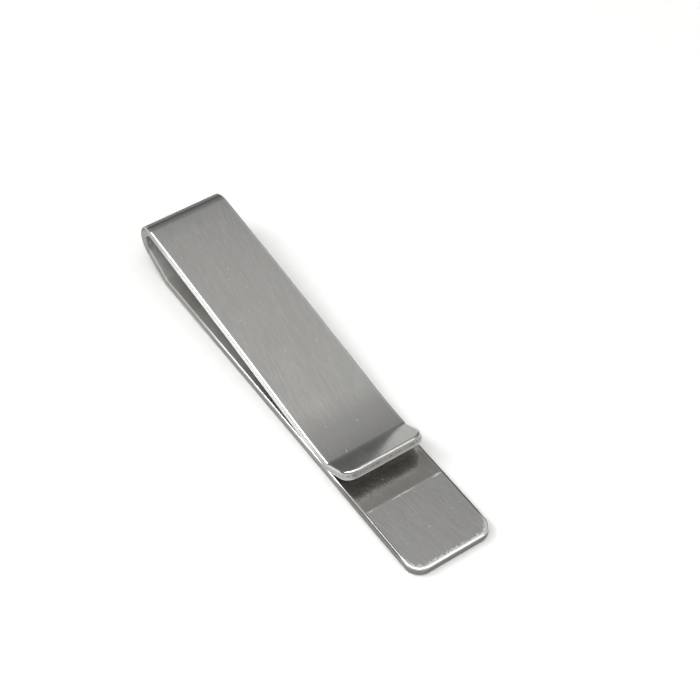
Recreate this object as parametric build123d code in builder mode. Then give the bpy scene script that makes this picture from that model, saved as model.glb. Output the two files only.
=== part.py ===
from build123d import *

import os
from math import cos, radians, sin

os.makedirs("parts", exist_ok=True)

# A money clip bent from one strip of spring steel, in the XZ plane. The long lower leaf lies flat on
# z = 0 with its free end at +X. At -X a heel and a ramp lift the strip into a tight fold. The upper
# leaf comes back down over the lower one, touches it at a crease and ends in a flared lip.
# Each stretch of the strip is a solid of its own, and neighbours share a face square to the strip.
# The origin is under the middle of the clip, on the face that it lies on. Lengths are in mm, angles in
# degrees.

# Strip stock
strip_width = 10.0
strip_thickness = 1.1
edge_radius = 0.25

# Overall size
overall_length = 54.0
fold_height = 6.6

# Lower leaf, heel and ramp
leaf_corner_radius = 1.7
heel_inner_radius = 1.0
ramp_angle = 28.0

# Fold
fold_inner_radius = 1.4

# Upper leaf: its slope grows along a long crowned arc, then eases off over a short run-in to the crease
leaf_start_slope = 6.15
leaf_end_slope = 8.85
run_in_length = 6.5
run_in_turn = 8.0
grip_clearance = 0.02

# Lip
lip_inner_radius = 0.8
lip_angle = 29.0
lip_length = 3.6
lip_corner_radius = 1.5

# Radii of the strip's mid-surface
half_thickness = strip_thickness / 2
heel_radius = heel_inner_radius + half_thickness
fold_radius = fold_inner_radius + half_thickness
lip_radius = lip_inner_radius + half_thickness


def direction(heading):
    """Unit vector in the XZ plane, its heading counted from +X towards +Z."""
    return Vector(cos(radians(heading)), 0, sin(radians(heading)))


def square_to_strip(point, heading):
    """Plane across the strip at a point of its mid-surface, facing along the heading."""
    return Plane(origin=point, x_dir=(0, 1, 0), z_dir=direction(heading))


def along_strip(point, heading):
    """Plane in the strip's mid-surface, its X along the heading and its normal to the left of it."""
    return Plane(origin=point, x_dir=direction(heading), z_dir=direction(heading + 90))


# The strip's course, followed from the free end of the lower leaf. Headings fall as it turns
# clockwise, seen from -Y.
flat_heading = 180.0
ramp_heading = flat_heading - ramp_angle
leaf_start_heading = -leaf_start_slope
leaf_end_heading = -leaf_end_slope
crease_heading = leaf_end_heading + run_in_turn
lip_heading = lip_angle
half_fold_turn = (ramp_heading - leaf_start_heading) / 2
crown_heading = ramp_heading - half_fold_turn

# Fold: placed by the clip's overall length and height
fold_outer_radius = fold_inner_radius + strip_thickness
fold_centre = Vector(fold_outer_radius - overall_length / 2, 0, fold_height - fold_outer_radius)
fold_start = fold_centre + direction(ramp_heading + 90) * fold_radius
fold_crown = fold_centre + direction(crown_heading + 90) * fold_radius
leaf_start = fold_centre + direction(leaf_start_heading + 90) * fold_radius

# Ramp and heel: the ramp makes up the height between the heel and the fold
heel_rise = heel_radius * (1 - cos(radians(ramp_angle)))
ramp_length = (fold_start.Z - half_thickness - heel_rise) / sin(radians(ramp_angle))
ramp_start = fold_start - direction(ramp_heading) * ramp_length
heel_centre = ramp_start - direction(ramp_heading + 90) * heel_radius
heel_start = heel_centre + direction(flat_heading + 90) * heel_radius
lower_leaf_length = overall_length / 2 - heel_start.X

# Upper leaf: one long arc and the run-in. The arc's length brings the crease down onto the lower leaf.
lip_centre_height = 2 * strip_thickness + grip_clearance + lip_inner_radius
crease_height = lip_centre_height - lip_radius * cos(radians(crease_heading))
run_in_radius = run_in_length / radians(run_in_turn)
run_in_chord = 2 * run_in_radius * sin(radians(run_in_turn / 2))
run_in_slope = leaf_end_slope - run_in_turn / 2
leaf_end_height = crease_height + run_in_chord * sin(radians(run_in_slope))
leaf_turn = leaf_end_slope - leaf_start_slope
chord_slope = (leaf_start_slope + leaf_end_slope) / 2
leaf_chord = (leaf_start.Z - leaf_end_height) / sin(radians(chord_slope))
leaf_radius = leaf_chord / (2 * sin(radians(leaf_turn / 2)))
leaf_centre = leaf_start - direction(leaf_start_heading + 90) * leaf_radius
leaf_end = leaf_centre + direction(leaf_end_heading + 90) * leaf_radius

run_in_centre = leaf_end + direction(leaf_end_heading + 90) * run_in_radius
crease = run_in_centre - direction(crease_heading + 90) * run_in_radius

# Lip
lip_turn = lip_angle - crease_heading
lip_centre = crease + direction(crease_heading + 90) * lip_radius
lip_start = lip_centre - direction(lip_heading + 90) * lip_radius

clockwise = (0, 1, 0)
anticlockwise = (0, -1, 0)

# Lower leaf: flat, with two rounded corners at its free end and its rim rounded over
with BuildPart() as lower_leaf:
    with BuildSketch(along_strip(heel_start, 0)):
        Rectangle(lower_leaf_length, strip_width, align=(Align.MIN, Align.CENTER))
    extrude(amount=half_thickness, both=True)
    end_face = lower_leaf.faces().sort_by(Axis.X)[-1]
    fillet(end_face.edges().filter_by(Axis.Z), leaf_corner_radius)
    seam_face = lower_leaf.faces().sort_by(Axis.X)[0]
    rim = lower_leaf.edges().filter_by(Axis.Z, reverse=True) - seam_face.edges()
    fillet(rim, edge_radius)
lower_leaf.part.label = "lower_leaf"
export_step(lower_leaf.part, "parts/lower_leaf.step")

# Heel bend: turns the strip up from the flat
with BuildPart() as heel_bend:
    with BuildSketch(square_to_strip(heel_start, flat_heading)):
        RectangleRounded(strip_width, strip_thickness, edge_radius)
    revolve(axis=Axis(heel_centre, clockwise), revolution_arc=ramp_angle)
heel_bend.part.label = "heel_bend"
export_step(heel_bend.part, "parts/heel_bend.step")

# Heel ramp: straight rise from the heel to the fold
with BuildPart() as heel_ramp:
    with BuildSketch(square_to_strip(ramp_start, ramp_heading)):
        RectangleRounded(strip_width, strip_thickness, edge_radius)
    extrude(amount=ramp_length)
heel_ramp.part.label = "heel_ramp"
export_step(heel_ramp.part, "parts/heel_ramp.step")

# Lower half of the fold
with BuildPart() as fold_lower:
    with BuildSketch(square_to_strip(fold_start, ramp_heading)):
        RectangleRounded(strip_width, strip_thickness, edge_radius)
    revolve(axis=Axis(fold_centre, clockwise), revolution_arc=half_fold_turn)
fold_lower.part.label = "fold_lower"
export_step(fold_lower.part, "parts/fold_lower.step")

# Upper half of the fold
with BuildPart() as fold_upper:
    with BuildSketch(square_to_strip(fold_crown, crown_heading)):
        RectangleRounded(strip_width, strip_thickness, edge_radius)
    revolve(axis=Axis(fold_centre, clockwise), revolution_arc=half_fold_turn)
fold_upper.part.label = "fold_upper"
export_step(fold_upper.part, "parts/fold_upper.step")

# Upper leaf: equal spans of its long arc, from the fold to the run-in
span_names = ["leaf_rear", "leaf_middle", "leaf_front"]
span_turn = leaf_turn / len(span_names)
for number, span_name in enumerate(span_names):
    span_heading = leaf_start_heading - number * span_turn
    span_start = leaf_centre + direction(span_heading + 90) * leaf_radius
    with BuildPart() as leaf_span:
        with BuildSketch(square_to_strip(span_start, span_heading)):
            RectangleRounded(strip_width, strip_thickness, edge_radius)
        revolve(axis=Axis(leaf_centre, clockwise), revolution_arc=span_turn)
    leaf_span.part.label = span_name
    export_step(leaf_span.part, f"parts/{span_name}.step")

# Run-in: the last of the upper leaf, which flattens out before the crease
with BuildPart() as leaf_run_in:
    with BuildSketch(square_to_strip(leaf_end, leaf_end_heading)):
        RectangleRounded(strip_width, strip_thickness, edge_radius)
    revolve(axis=Axis(run_in_centre, anticlockwise), revolution_arc=run_in_turn)
leaf_run_in.part.label = "leaf_run_in"
export_step(leaf_run_in.part, "parts/leaf_run_in.step")

# Lip bend: the crease that grips against the lower leaf
with BuildPart() as lip_bend:
    with BuildSketch(square_to_strip(crease, crease_heading)):
        RectangleRounded(strip_width, strip_thickness, edge_radius)
    revolve(axis=Axis(lip_centre, anticlockwise), revolution_arc=lip_turn)
lip_bend.part.label = "lip_bend"
export_step(lip_bend.part, "parts/lip_bend.step")

# Lip: flared up from the crease, with its corners and rim rounded over
with BuildPart() as lip:
    with BuildSketch(along_strip(lip_start, lip_heading)):
        Rectangle(lip_length, strip_width, align=(Align.MIN, Align.CENTER))
    extrude(amount=half_thickness, both=True)
    end_face = lip.faces().sort_by(Axis.X)[-1]
    fillet(end_face.edges().filter_by(Axis.Y, reverse=True), lip_corner_radius)
    seam_face = lip.faces().sort_by(Axis.X)[0]
    corner_axis = Axis(lip_start, direction(lip_heading + 90))
    rim = lip.edges().filter_by(corner_axis, reverse=True) - seam_face.edges()
    fillet(rim, edge_radius)
lip.part.label = "lip"
export_step(lip.part, "parts/lip.step")
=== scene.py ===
from math import ceil, cos, hypot, pi, radians, sin

import bpy
from mathutils import Matrix, Vector


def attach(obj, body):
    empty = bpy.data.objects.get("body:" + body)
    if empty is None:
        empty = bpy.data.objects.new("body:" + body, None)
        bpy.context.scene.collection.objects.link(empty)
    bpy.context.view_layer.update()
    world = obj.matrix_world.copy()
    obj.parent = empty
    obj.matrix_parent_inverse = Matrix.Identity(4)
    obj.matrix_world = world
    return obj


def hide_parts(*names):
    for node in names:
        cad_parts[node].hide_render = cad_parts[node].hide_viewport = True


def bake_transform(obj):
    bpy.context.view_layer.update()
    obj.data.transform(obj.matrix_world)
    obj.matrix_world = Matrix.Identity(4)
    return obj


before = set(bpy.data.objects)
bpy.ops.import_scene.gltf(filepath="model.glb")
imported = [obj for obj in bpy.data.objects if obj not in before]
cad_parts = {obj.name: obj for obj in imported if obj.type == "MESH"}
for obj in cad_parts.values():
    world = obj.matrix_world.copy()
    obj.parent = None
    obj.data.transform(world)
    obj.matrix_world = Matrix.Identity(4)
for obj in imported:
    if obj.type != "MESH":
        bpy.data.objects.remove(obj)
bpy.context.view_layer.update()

# The clip is one bent strip. Here it is built as a flat plate with rounded corners and a rounded rim,
# which is then wrapped along the strip's course. The plate is cut where the strip is straight or nearly
# so; the pieces at the two free ends each ride on one body, and the pieces between them stay as built.
# Lengths are in mm until a point is placed, and angles are in degrees.
MM = 0.001

# The same driving sizes as the CAD model
strip_width = 10.0
strip_thickness = 1.1
edge_radius = 0.25
overall_length = 54.0
fold_height = 6.6
leaf_corner_radius = 1.7
heel_inner_radius = 1.0
ramp_angle = 28.0
fold_inner_radius = 1.4
leaf_start_slope = 6.15
leaf_end_slope = 8.85
run_in_length = 6.5
run_in_turn = 8.0
grip_clearance = 0.02
lip_inner_radius = 0.8
lip_angle = 29.0
lip_length = 3.6
lip_corner_radius = 1.5

half_thickness = strip_thickness / 2
half_width = strip_width / 2
heel_radius = heel_inner_radius + half_thickness
fold_radius = fold_inner_radius + half_thickness
lip_radius = lip_inner_radius + half_thickness


# ---- Course of the strip -------------------------------------------------------------------------


def direction(heading):
    """Unit vector in the XZ plane, its heading counted from +X towards +Z."""
    return Vector((cos(radians(heading)), 0, sin(radians(heading))))


ramp_heading = 180 - ramp_angle
half_fold_turn = (ramp_heading + leaf_start_slope) / 2
leaf_turn = leaf_end_slope - leaf_start_slope
crease_slope = leaf_end_slope - run_in_turn
lip_turn = crease_slope + lip_angle

fold_outer_radius = fold_inner_radius + strip_thickness
fold_centre = Vector((fold_outer_radius - overall_length / 2, 0, fold_height - fold_outer_radius))
fold_start = fold_centre + direction(ramp_heading + 90) * fold_radius
leaf_start = fold_centre + direction(90 - leaf_start_slope) * fold_radius

heel_rise = heel_radius * (1 - cos(radians(ramp_angle)))
ramp_length = (fold_start.z - half_thickness - heel_rise) / sin(radians(ramp_angle))
ramp_start = fold_start - direction(ramp_heading) * ramp_length
heel_start_x = ramp_start.x + heel_radius * sin(radians(ramp_angle))
lower_leaf_length = overall_length / 2 - heel_start_x

lip_centre_height = 2 * strip_thickness + grip_clearance + lip_inner_radius
crease_height = lip_centre_height - lip_radius * cos(radians(crease_slope))
run_in_radius = run_in_length / radians(run_in_turn)
run_in_chord = 2 * run_in_radius * sin(radians(run_in_turn / 2))
leaf_end_height = crease_height + run_in_chord * sin(radians((leaf_end_slope + crease_slope) / 2))
chord_slope = (leaf_start_slope + leaf_end_slope) / 2
leaf_chord = (leaf_start.z - leaf_end_height) / sin(radians(chord_slope))
leaf_radius = leaf_chord / (2 * sin(radians(leaf_turn / 2)))
leaf_spans = 3
span_turn = leaf_turn / leaf_spans
span_length = leaf_radius * radians(span_turn)

# Each stretch of the course from the lower leaf's free end: its name, length and clockwise turn
course = [
    ("lower_leaf", lower_leaf_length, 0),
    ("heel_bend", heel_radius * radians(ramp_angle), ramp_angle),
    ("heel_ramp", ramp_length, 0),
    ("fold_lower", fold_radius * radians(half_fold_turn), half_fold_turn),
    ("fold_upper", fold_radius * radians(half_fold_turn), half_fold_turn),
    ("leaf_rear", span_length, span_turn),
    ("leaf_middle", span_length, span_turn),
    ("leaf_front", span_length, span_turn),
    ("leaf_run_in", run_in_length, -run_in_turn),
    ("lip_bend", lip_radius * radians(lip_turn), -lip_turn),
    ("lip", lip_length, 0),
]
strip_length = sum(length for name, length, turn in course)


def along(point, heading, length, turn, way):
    """The point and heading after going some way along one stretch, which is straight or an arc."""
    half_turn = radians(turn) * way / length / 2
    chord = way * sin(half_turn) / half_turn if half_turn else way
    middle_heading = heading - turn * way / length / 2
    return point + direction(middle_heading) * chord, heading - turn * way / length


def place(distance):
    """The strip's mid-surface point and heading at a distance from the lower leaf's free end."""
    point, heading = Vector((overall_length / 2, 0, half_thickness)), 180
    for name, length, turn in course:
        if distance <= length or name == course[-1][0]:
            return along(point, heading, length, turn, distance)
        point, heading = along(point, heading, length, turn, length)
        distance -= length


def distance_to(stretch, share=0.5):
    """Distance along the strip to a share of the way through a stretch, or to its middle."""
    distance = 0
    for name, length, turn in course:
        if name == stretch:
            return distance + length * share
        distance += length


def stations(start, end):
    """Distances from start to end, close enough together for smooth bends."""
    step_length, step_turn = 1.5, 2.5
    found, distance = [], 0
    for name, length, turn in course:
        first, last = max(start, distance), min(end, distance + length)
        if last > first:
            turned = abs(turn) * (last - first) / length
            steps = ceil(max((last - first) / step_length, turned / step_turn))
            found += [first + (last - first) * i / steps for i in range(steps)]
        distance += length
    return found + [end]


# ---- The strip's pieces --------------------------------------------------------------------------

columns = 12
corner_steps = 10
rim_steps = 6


def outline_rows(start, end, start_corner, end_corner):
    """Rows across the plate, as (distance, angle, centre, radius, facing): the angle turns a corner."""
    rows = []
    if start_corner:
        centre = start + start_corner
        for i in range(corner_steps, 0, -1):
            rows.append((centre, 90 * i / corner_steps, start_corner, -1))
    first = start + (start_corner or 0)
    last = end - (end_corner or 0)
    rows += [(station, 0, 0, 0) for station in stations(first, last)]
    if end_corner:
        for i in range(1, corner_steps + 1):
            rows.append((last, 90 * i / corner_steps, end_corner, 1))
    return rows


def rim_point(row, inset):
    """Distance along the strip and half width of the outline at a row, moved inwards by the inset."""
    centre, angle, radius, facing = row
    if not facing:
        return centre, half_width - inset
    reach = radius - inset
    return (
        centre + facing * reach * sin(radians(angle)),
        half_width - radius + reach * cos(radians(angle)),
    )


def rim_normal(row):
    """The outline's outward direction at a row, along the strip and across it."""
    centre, angle, radius, facing = row
    return facing * sin(radians(angle)), cos(radians(angle))


# The rim's profile, from the outer skin round to the inner skin: (inset, height, normal in the plane
# of the plate, normal out of it)
rim = []
for i in range(rim_steps + 1):
    turned = radians(90 * i / rim_steps)
    rim.append(
        (
            edge_radius * (1 - sin(turned)),
            half_thickness - edge_radius + edge_radius * cos(turned),
            sin(turned),
            cos(turned),
        )
    )
rim += [(inset, -height, flat, -up) for inset, height, flat, up in reversed(rim)]


def flat_plate(rows, start_corner, end_corner):
    """The plate before it is bent: its points, their normals, its faces and which of them are seams."""
    last_row = len(rows) - 1
    last_level = len(rim) - 1
    plate, normals, numbers = [], [], {}

    def vertex(level, row, column):
        """The number of the vertex on one level of the rim's profile, in one row and column."""
        key = level, row, column
        if key in numbers:
            return numbers[key]
        inset, height, flat, up = rim[level]
        distance, half = rim_point(rows[row], inset)
        share = 2 * column / columns - 1
        normal_along, normal_across = rim_normal(rows[row])
        side = -1 if column == 0 else 1 if column == columns else 0
        on_side = Vector((normal_along, side * normal_across, 0))
        if level in (0, last_level):
            normal = Vector((0, 0, up))
        else:
            normal = on_side.normalized() * flat + Vector((0, 0, up))
        numbers[key] = len(plate)
        plate.append(Vector((distance, half * share, height)))
        normals.append(normal)
        return numbers[key]

    faces = []
    for row in range(last_row):
        for column in range(columns):
            square = (row, column), (row + 1, column), (row + 1, column + 1), (row, column + 1)
            faces.append([vertex(0, *corner) for corner in square])
            faces.append([vertex(last_level, *corner) for corner in reversed(square)])

    # The rim follows the outline round the free ends, and a seam is closed with one flat face
    chains = [[(row, 0) for row in range(last_row + 1)], [(row, columns) for row in range(last_row, -1, -1)]]
    if end_corner:
        chains.append([(last_row, column) for column in range(columns + 1)])
    if start_corner:
        chains.append([(0, column) for column in range(columns, -1, -1)])
    for chain in chains:
        for here, there in zip(chain, chain[1:]):
            for level in range(last_level):
                upper = vertex(level, *there), vertex(level, *here)
                lower = vertex(level + 1, *here), vertex(level + 1, *there)
                faces.append([*upper, *lower])
    seams = []
    for row, corner in ((0, start_corner), (last_row, end_corner)):
        if corner:
            continue
        border = [vertex(0, row, column) for column in range(columns + 1)]
        border += [vertex(level, row, columns) for level in range(1, last_level)]
        border += [vertex(last_level, row, column) for column in range(columns, -1, -1)]
        border += [vertex(level, row, 0) for level in range(last_level - 1, 0, -1)]
        seams.append(len(faces))
        faces.append(border if row == 0 else border[::-1])
    return plate, normals, faces, seams


def bend(plate, normals):
    """The plate's points in metres and their unit normals, once it follows the strip's course."""
    points, directions = [], []
    for (distance, across, height), (normal_along, normal_across, up) in zip(plate, normals):
        point, heading = place(distance)
        point = point + direction(heading + 90) * height
        points.append((point + Vector((0, across, 0))) * MM)
        normal = direction(heading) * normal_along + direction(heading + 90) * up
        directions.append((normal + Vector((0, normal_across, 0))).normalized())
    return points, directions


def add_surface_data(mesh, plate):
    """What the material reads: places on the flat plate, and distances to its outline."""
    # The plate's own coordinates in mm: along the strip, across it and through it
    flat_place = mesh.attributes.new("plate", "FLOAT_VECTOR", "POINT")
    flat_place.data.foreach_set("vector", [value for point in plate for value in point])
    # Distance in mm from the outline, for wear along the edges
    edge = mesh.attributes.new("edge", "FLOAT", "POINT")
    edge.data.foreach_set("value", [distance_to_edge(point) for point in plate])
    uv = mesh.uv_layers.new(name="plan")
    for polygon in mesh.polygons:
        for loop in polygon.loop_indices:
            distance, across, height = plate[mesh.loops[loop].vertex_index]
            uv.data[loop].uv = distance / strip_length, across / strip_length + 0.5


def strip_piece(name, start, end, start_corner=None, end_corner=None):
    """One length of the strip as a closed solid, with a free end where a corner radius is given."""
    rows = outline_rows(start, end, start_corner, end_corner)
    plate, normals, faces, seams = flat_plate(rows, start_corner, end_corner)
    points, directions = bend(plate, normals)

    mesh = bpy.data.meshes.new(name)
    mesh.from_pydata(points, [], faces)
    mesh.polygons.foreach_set("use_smooth", [True] * len(faces))
    loop_normals = []
    for polygon in mesh.polygons:
        if polygon.index in seams:
            loop_normals += [polygon.normal.copy()] * polygon.loop_total
        else:
            loop_normals += [directions[number] for number in polygon.vertices]
    mesh.normals_split_custom_set(loop_normals)
    add_surface_data(mesh, plate)
    mesh.materials.append(satin_steel)

    made = bpy.data.objects.new(name, mesh)
    bpy.context.scene.collection.objects.link(made)
    return made


def distance_to_edge(point):
    """How far a point of the plate is from the outline, in mm."""
    distance, across, height = point
    to_side = half_width - abs(across)
    to_end = min(distance, strip_length - distance)
    radius = leaf_corner_radius if distance < strip_length / 2 else lip_corner_radius
    if to_side < radius and to_end < radius:
        return radius - hypot(radius - to_side, radius - to_end)
    return min(to_side, to_end)


# ---- Satin steel ---------------------------------------------------------------------------------


class Graph:
    """A node tree with short calls for the nodes that the materials use."""

    def __init__(self, tree):
        self.tree = tree
        tree.nodes.clear()

    def add(self, kind, links=(), **settings):
        node = self.tree.nodes.new(kind)
        for name, value in settings.items():
            setattr(node, name, value)
        for name, value in dict(links).items():
            socket = node.inputs[name]
            if isinstance(value, bpy.types.NodeSocket):
                self.tree.links.new(value, socket)
            else:
                socket.default_value = value
        return node

    def math(self, operation, first, second=0.0, clamp=False):
        node = self.add("ShaderNodeMath", {0: first, 1: second}, operation=operation, use_clamp=clamp)
        return node.outputs[0]

    def times(self, first, second):
        return self.math("MULTIPLY", first, second)

    def plus(self, first, second):
        return self.math("ADD", first, second)

    def swing(self, noise, width):
        """Noise made to swing about 0, over about this width."""
        return self.times(self.math("SUBTRACT", noise, 0.5), width)

    def turned(self, place, angle):
        """Coordinates turned by an angle in the plane of the plate."""
        links = {"Vector": place, "Angle": radians(angle)}
        return self.add("ShaderNodeVectorRotate", links, rotation_type="Z_AXIS").outputs[0]

    def noise(self, place, scale, detail=3.0, roughness=0.5):
        """Noise of the plate's coordinates, its features this many to the mm along, across, through."""
        stretched = self.add(
            "ShaderNodeVectorMath", {0: place, 1: scale}, operation="MULTIPLY"
        ).outputs[0]
        links = {"Vector": stretched, "Scale": 1.0, "Detail": detail, "Roughness": roughness}
        return self.add("ShaderNodeTexNoise", links).outputs["Fac"]

    def between(self, value, low, high, to_low=0.0, to_high=1.0):
        """The value's range from low to high, mapped to another range and kept inside it."""
        links = {"Value": value, "From Min": low, "From Max": high, "To Min": to_low, "To Max": to_high}
        return self.add("ShaderNodeMapRange", links, interpolation_type="SMOOTHSTEP").outputs[0]

    def window(self, value, rise_from, rise_to, fall_from, fall_to):
        """1 over a range of the value and 0 outside it, with soft ends."""
        return self.times(self.between(value, rise_from, rise_to), self.between(value, fall_to, fall_from))

    def mix(self, share, first, second):
        """From the first colour to the second."""
        node = self.add("ShaderNodeMix", data_type="RGBA")
        for socket, value in ((node.inputs[0], share), (node.inputs[6], first), (node.inputs[7], second)):
            if isinstance(value, bpy.types.NodeSocket):
                self.tree.links.new(value, socket)
            else:
                socket.default_value = value
        return node.outputs[2]


# Where the marks lie, as distances along the strip. A border's two numbers are its soft ends. A zone's
# four are where it starts to rise, is full, starts to fall and is gone.
crown_place = distance_to("fold_upper", 0)
lip_bend_start = distance_to("lip_bend", 0)
# Where the painted highlight line lies, across the lower leaf in front of the lip
painted_highlight_line_place = 8.85
mouth_zone = 2.0, 3.2, 12.0, 15.0
rough_skin_border = 22.0, 34.0
heel_and_fold_zone = 36.0, 42.0, 55.0, 58.0
upper_leaf_border = 54.0, 66.0
lip_fade_border = 78.0, 93.0

# Heights from the middle of the strip: where the rim's rounding starts on a side, and beyond which a
# point counts as being on a skin
side_height = half_thickness - edge_radius
skin_height = 0.2


def add_brushing(graph, plate):
    """Fine lines that run a little askew along the strip, broad faint streaks, and soft clouds."""
    askew = graph.turned(plate, 7)
    fine = graph.noise(askew, (0.7, 6.0, 3.0), detail=4.0, roughness=0.6)
    broad = graph.noise(askew, (0.25, 1.6, 1.0), detail=3.0, roughness=0.55)
    clouds = graph.noise(plate, (0.25, 0.35, 0.3), detail=2.0)
    return fine, broad, clouds


def add_edge_marks(graph, plate, edge, distance, height):
    """Masks of the rim and the cut sides."""
    masks = {}
    level = graph.math("ABSOLUTE", height)
    rim_share = graph.between(edge, edge_radius + 0.07, edge_radius - 0.03)
    on_upper_leaf = graph.between(distance, *upper_leaf_border)
    heel_and_fold = graph.window(distance, *heel_and_fold_zone)
    by_mouth = graph.window(distance, *mouth_zone)

    # Wear: the corners of the rim are rubbed bright, with an uneven border that is widest at the tip
    ragged = graph.noise(plate, (3.2, 3.2, 2.0), detail=5.0, roughness=0.7)
    unevenness = graph.between(distance, 3.0, 1.0, 0.2, 1.5)
    border = graph.plus(edge, graph.swing(ragged, unevenness))
    masks["wear"] = graph.between(border, 0.42, 0.2)
    # Nearly white at the tip: partly a real ragged edge from cutting, partly a painted highlight
    masks["burr_and_highlight"] = graph.times(graph.between(border, 0.6, 0.3), graph.between(distance, 2.5, 1.0))

    # Cut sides: dull from the cut on the lower leaf and the fold, and darkened there by painted shade,
    # darkest round the heel and the fold; a painted highlight makes them near white along the upper leaf, and
    # painted shade darkens them again towards the lip
    off_rim = graph.between(level, side_height + 0.14, side_height + 0.04)
    cut_side = graph.times(off_rim, graph.between(edge, 0.1, 0.03))
    sheared_and_shaded_side = graph.times(cut_side, graph.math("SUBTRACT", 1.0, on_upper_leaf))
    near_lip = graph.between(distance, lip_bend_start - 4.0, lip_bend_start - 0.5)
    shaded_lip_side = graph.times(cut_side, near_lip)
    towards_lip = graph.between(distance, *lip_fade_border, 1.0, 0.1)
    masks["painted_bright_side"] = graph.times(graph.times(rim_share, on_upper_leaf), towards_lip)
    masks["cut_side"] = cut_side
    masks["sheared_and_shaded_side"] = sheared_and_shaded_side
    masks["shaded_lip_side"] = shaded_lip_side

    # A broken dark line runs along the middle of the dull sides, where the shear tore the steel
    torn = graph.times(graph.between(level, 0.12, 0.04), graph.between(ragged, 0.4, 0.6))
    masks["shear_line"] = graph.times(torn, graph.plus(sheared_and_shaded_side, shaded_lip_side))

    masks["heel_and_fold"] = heel_and_fold
    # Painted shade: the rim is darker round the heel and the fold and along the mouth, darkest along the
    # mouth, and rougher there too
    masks["shaded_mouth_rim"] = graph.times(rim_share, by_mouth)
    masks["dull_and_shaded_rim"] = graph.times(rim_share, graph.math("MAXIMUM", heel_and_fold, by_mouth))
    return masks


def add_skin_marks(graph, plate, clouds, distance, height):
    """Masks of the outer and the inner skin."""
    masks = {}
    outer_skin = graph.math("GREATER_THAN", height, skin_height)
    inner_skin = graph.math("LESS_THAN", height, -skin_height)

    # Painted shade: the outer skin is darkest round the crown of the fold, and a lighter painted shade
    # reaches out from there and lies before the crease
    crown = graph.window(distance, crown_place - 4.0, crown_place - 2.0, crown_place + 1.2, crown_place + 2.4)
    masks["crown_shade"] = graph.times(crown, outer_skin)
    cloudy = graph.plus(distance, graph.swing(clouds, 3.0))
    by_fold = graph.window(cloudy, crown_place - 5.0, crown_place - 1.0, crown_place + 2.0, crown_place + 5.5)
    by_crease = graph.window(
        distance, lip_bend_start - 7.0, lip_bend_start - 3.0, lip_bend_start, lip_bend_start + 0.5
    )
    crease_and_fold_shade = graph.plus(graph.times(by_fold, 0.3), graph.times(by_crease, 0.65))
    masks["crease_and_fold_shade"] = graph.times(crease_and_fold_shade, outer_skin)

    # The inner skin is rougher from the middle of the lower leaf to the crease, and painted shade darkens it
    # on the lip's underside
    past_mouth = graph.times(inner_skin, graph.between(distance, *rough_skin_border))
    lip_underside_shade = graph.times(inner_skin, graph.math("GREATER_THAN", distance, lip_bend_start))
    masks["between_leaves"] = graph.math("SUBTRACT", past_mouth, lip_underside_shade)
    masks["lip_underside_shade"] = lip_underside_shade

    # Painted highlight: a bright line across the lower leaf in front of the lip, where the lip's bright edge
    # is mirrored,
    # and a painted shadow of the lip: a warmer, darker zone from there to just under the lip
    wobble = graph.noise(plate, (0.9, 0.9, 0.9), detail=2.0)
    wavy = graph.plus(distance, graph.swing(wobble, 0.2))
    off_line = graph.math("ABSOLUTE", graph.math("SUBTRACT", wavy, painted_highlight_line_place))
    strength = graph.between(graph.noise(plate, (0.1, 0.5, 0.5), detail=2.0), 0.35, 0.6)
    painted_highlight_line = graph.times(graph.between(off_line, 0.13, 0.04), strength)
    masks["painted_highlight_line"] = graph.times(painted_highlight_line, inner_skin)
    lip_shadow_band = graph.window(
        distance, painted_highlight_line_place, painted_highlight_line_place + 0.3, painted_highlight_line_place + 3.2, painted_highlight_line_place + 4.2
    )
    masks["lip_shadow_band"] = graph.times(lip_shadow_band, inner_skin)
    return masks


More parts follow.
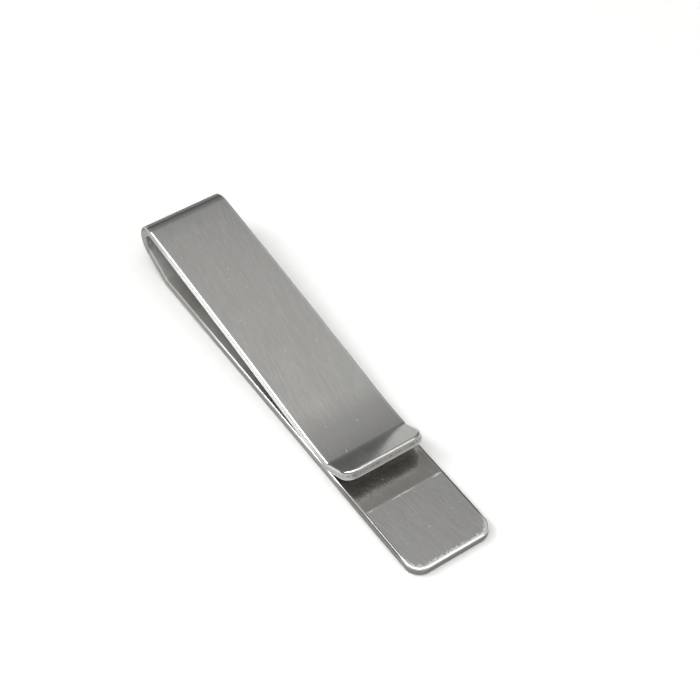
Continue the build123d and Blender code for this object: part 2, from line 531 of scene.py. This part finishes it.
def make_satin_steel():
    material = bpy.data.materials.new("satin_steel")
    material.use_nodes = True
    graph = Graph(material.node_tree)
    plate = graph.add("ShaderNodeAttribute", attribute_name="plate").outputs["Vector"]
    edge = graph.add("ShaderNodeAttribute", attribute_name="edge").outputs["Fac"]
    along_and_through = graph.add("ShaderNodeSeparateXYZ", {"Vector": plate})
    distance, height = along_and_through.outputs["X"], along_and_through.outputs["Z"]

    fine, broad, clouds = add_brushing(graph, plate)
    # Handling marks: specks, and a few scratches across the grain
    specks = graph.between(graph.noise(plate, (1.6, 1.9, 1.5), detail=1.0), 0.72, 0.80)
    across_grain = graph.turned(plate, 62)
    scratches = graph.between(graph.noise(across_grain, (0.22, 5.0, 1.0), detail=1.5), 0.70, 0.74)
    masks = add_edge_marks(graph, plate, edge, distance, height)
    masks.update(add_skin_marks(graph, plate, clouds, distance, height))
    masks["specks"] = specks

    # Colour: brushed steel, with each mark laid over what came before it. The layers for the lip's shadow,
    # the lip's underside, the fold, the crease and the crown are painted shade, the sides and rims are partly
    # painted shade, and the bright line before the lip and the bright upper sides are painted highlight
    shade = graph.between(graph.plus(graph.times(fine, 0.65), graph.times(broad, 0.35)), 0.35, 0.65)
    steel = graph.mix(shade, (0.565, 0.56, 0.545, 1), (0.615, 0.61, 0.595, 1))
    sheared_and_shaded_colour = graph.mix(masks["heel_and_fold"], (0.24, 0.235, 0.225, 1), (0.4, 0.395, 0.385, 1))
    layers = (
        ("lip_shadow_band", (0.38, 0.365, 0.34, 1)),
        ("lip_underside_shade", (0.37, 0.365, 0.355, 1)),
        ("crease_and_fold_shade", (0.41, 0.405, 0.395, 1)),
        ("crown_shade", (0.3, 0.3, 0.295, 1)),
        ("painted_highlight_line", (0.8, 0.8, 0.79, 1)),
        ("wear", (0.7, 0.695, 0.68, 1)),
        ("specks", (0.72, 0.715, 0.7, 1)),
        ("burr_and_highlight", (0.92, 0.92, 0.9, 1)),
        ("painted_bright_side", (0.9, 0.9, 0.885, 1)),
        ("dull_and_shaded_rim", (0.42, 0.415, 0.4, 1)),
        ("shaded_mouth_rim", (0.22, 0.215, 0.21, 1)),
        ("sheared_and_shaded_side", sheared_and_shaded_colour),
        ("shaded_lip_side", (0.46, 0.455, 0.44, 1)),
        ("shear_line", (0.2, 0.195, 0.19, 1)),
    )
    for mask, colour in layers:
        steel = graph.mix(masks[mask], steel, colour)

    # Roughness: cloudy, uneven along the brushing, and then what each mark adds
    rough = graph.plus(graph.between(clouds, 0.3, 0.7, 0.14, 0.2), graph.swing(fine, 0.12))
    added_roughness = {
        "wear": -0.06,
        "between_leaves": 0.27,
        "lip_shadow_band": 0.08,
        "dull_and_shaded_rim": 0.15,
        "cut_side": 0.22,
        "painted_bright_side": 0.12,
        "burr_and_highlight": 0.2,
        "painted_highlight_line": 0.3,
    }
    for mask, added in added_roughness.items():
        rough = graph.plus(rough, graph.times(masks[mask], added))
    rough = graph.math("ADD", rough, 0.0, clamp=True)

    relief = graph.plus(graph.times(fine, 0.6), graph.times(broad, 0.25))
    relief = graph.plus(relief, graph.times(scratches, 0.15))
    bump = graph.add("ShaderNodeBump", {"Strength": 0.35, "Distance": 0.00003, "Height": relief})
    # Painted shade: the crown stays dark at grazing angles too
    crown_shade_at_grazing = graph.mix(masks["crown_shade"], (1, 1, 1, 1), (0.25, 0.25, 0.25, 1))
    shader = graph.add(
        "ShaderNodeBsdfPrincipled",
        {
            "Base Color": steel,
            "Metallic": 1.0,
            "Roughness": rough,
            "Specular Tint": crown_shade_at_grazing,
            "Normal": bump.outputs[0],
        },
    )
    graph.add("ShaderNodeOutputMaterial", {"Surface": shader.outputs[0]})
    return material


satin_steel = make_satin_steel()

# Seams between the pieces, each in the middle of a stretch
ramp_seam = distance_to("heel_ramp")
rear_seam = distance_to("leaf_rear")
middle_seam = distance_to("leaf_middle")
front_seam = distance_to("leaf_front")

lower_piece = strip_piece("strip_lower_leaf", 0, ramp_seam, start_corner=leaf_corner_radius)
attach(lower_piece, "lower_strip")
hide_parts("lower_leaf", "heel_bend", "heel_ramp")

# The fold lies between the seams. Two points are worked out on a line that every turn of the fold climbs,
# half the strip's thickness clear of each seam.
fold_piece = strip_piece("strip_fold", ramp_seam, rear_seam)
climb_heading = 75
climb = direction(climb_heading)
fold_from = place(ramp_seam)[0] + climb * half_thickness
fold_to = place(rear_seam)[0] - climb * half_thickness
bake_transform(fold_piece)
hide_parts("fold_lower", "fold_upper")

rear_piece = strip_piece("strip_upper_leaf_rear", rear_seam, middle_seam)
place(rear_seam)[0] * MM
place(middle_seam)[0] * MM
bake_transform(rear_piece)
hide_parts("leaf_rear")

front_piece = strip_piece("strip_upper_leaf_front", middle_seam, front_seam)
place(middle_seam)[0] * MM
place(front_seam)[0] * MM
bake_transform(front_piece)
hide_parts("leaf_middle")

lip_piece = strip_piece("strip_lip", front_seam, strip_length, end_corner=lip_corner_radius)
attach(lip_piece, "front_span")
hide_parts("leaf_front", "leaf_run_in", "lip_bend", "lip")


# ---- Floor, light and camera ---------------------------------------------------------------------

# Floor: a large pale disc under the clip
floor_radius = 1.2
floor_sides = 96
floor_drop = 0.00002
floor_mesh = bpy.data.meshes.new("floor")
floor_rim = [
    (floor_radius * cos(2 * pi * i / floor_sides), floor_radius * sin(2 * pi * i / floor_sides), 0)
    for i in range(floor_sides)
]
floor_mesh.from_pydata(floor_rim, [], [list(range(floor_sides))])
floor = bpy.data.objects.new("floor", floor_mesh)
bpy.context.scene.collection.objects.link(floor)
floor.location.z = -floor_drop
paper = bpy.data.materials.new("floor_paper")
paper.use_nodes = True
paper_graph = Graph(paper.node_tree)
paper_place = paper_graph.add("ShaderNodeTexCoord").outputs["Object"]
paper_grain = paper_graph.add("ShaderNodeTexNoise", {"Vector": paper_place, "Scale": 900.0}).outputs["Fac"]
paper_colour = paper_graph.mix(paper_grain, (0.86, 0.86, 0.85, 1), (0.9, 0.9, 0.89, 1))
paper_shader = paper_graph.add(
    "ShaderNodeBsdfPrincipled", {"Base Color": paper_colour, "Roughness": 0.8, "Specular IOR Level": 0.2}
)
paper_graph.add("ShaderNodeOutputMaterial", {"Surface": paper_shader.outputs[0]})
floor_mesh.materials.append(paper)

# Room, which the steel mirrors: grey at the floor, dimmest low down and brightest overhead
world = bpy.data.worlds.new("studio")
bpy.context.scene.world = world
world.use_nodes = True
room = Graph(world.node_tree)
height = room.add(
    "ShaderNodeSeparateXYZ", {"Vector": room.add("ShaderNodeTexCoord").outputs["Generated"]}
).outputs["Z"]
ramp = room.add("ShaderNodeValToRGB", {"Fac": height})
tones = (
    (0.0, 0.42),
    (0.08, 0.42),
    (0.17, 0.22),
    (0.3, 0.16),
    (0.45, 0.24),
    (0.67, 0.32),
    (0.8, 0.38),
    (0.825, 0.54),
    (0.85, 0.6),
    (0.9, 0.59),
    (1.0, 0.75),
)
warm_blue = 0.985
while len(ramp.color_ramp.elements) < len(tones):
    ramp.color_ramp.elements.new(0.5)
for element, (position, tone) in zip(ramp.color_ramp.elements, tones):
    element.position = position
    element.color = (tone, tone, tone * warm_blue, 1)
backdrop = room.add("ShaderNodeBackground", {"Color": ramp.outputs["Color"], "Strength": 1.0})
room.add("ShaderNodeOutputWorld", {"Surface": backdrop.outputs[0]})


def towards(azimuth, elevation):
    """Unit vector from the clip. Azimuth 0 is at -Y and 90 at +X."""
    flat = cos(radians(elevation))
    return Vector((sin(radians(azimuth)) * flat, -cos(radians(azimuth)) * flat, sin(radians(elevation))))


light_distance = 0.7


def softbox(name, azimuth, elevation, size, power):
    """A square area light that faces the clip."""
    data = bpy.data.lights.new(name, "AREA")
    data.shape = "SQUARE"
    data.size = size
    data.energy = power
    light = bpy.data.objects.new(name, data)
    away = towards(azimuth, elevation)
    light.location = away * light_distance
    light.rotation_mode = "QUATERNION"
    light.rotation_quaternion = away.to_track_quat("Z", "Y")
    bpy.context.scene.collection.objects.link(light)


softbox("key", azimuth=30, elevation=76, size=0.7, power=3.4)
softbox("side_light", azimuth=-38, elevation=48, size=0.25, power=1.6)
softbox("right_edge_light", azimuth=118, elevation=34, size=0.25, power=0.6)

# Camera: on the +X, -Y side, looking down on the clip
camera_data = bpy.data.cameras.new("camera")
camera = bpy.data.objects.new("camera", camera_data)
bpy.context.scene.collection.objects.link(camera)
bpy.context.scene.camera = camera
camera_azimuth = 56.065
camera_elevation = 48.687
camera_roll = -0.434
camera_distance = 0.18603
camera_aim = Vector((-0.000425, 0.005916, 0.002))
camera_data.sensor_width = 36.0
camera_data.lens = 87.55
camera_data.clip_start = 0.01
camera_data.clip_end = 10.0
camera_back = towards(camera_azimuth, camera_elevation)
camera.rotation_mode = "QUATERNION"
camera.location = camera_aim + camera_back * camera_distance
upright = camera_back.to_track_quat("Z", "Y").to_matrix()
camera.rotation_quaternion = (upright @ Matrix.Rotation(radians(camera_roll), 3, "Z")).to_quaternion()

bpy.context.scene.view_settings.view_transform = "Standard"
# The steel mirrors itself many times over inside the fold
bpy.context.scene.cycles.glossy_bounces = 12
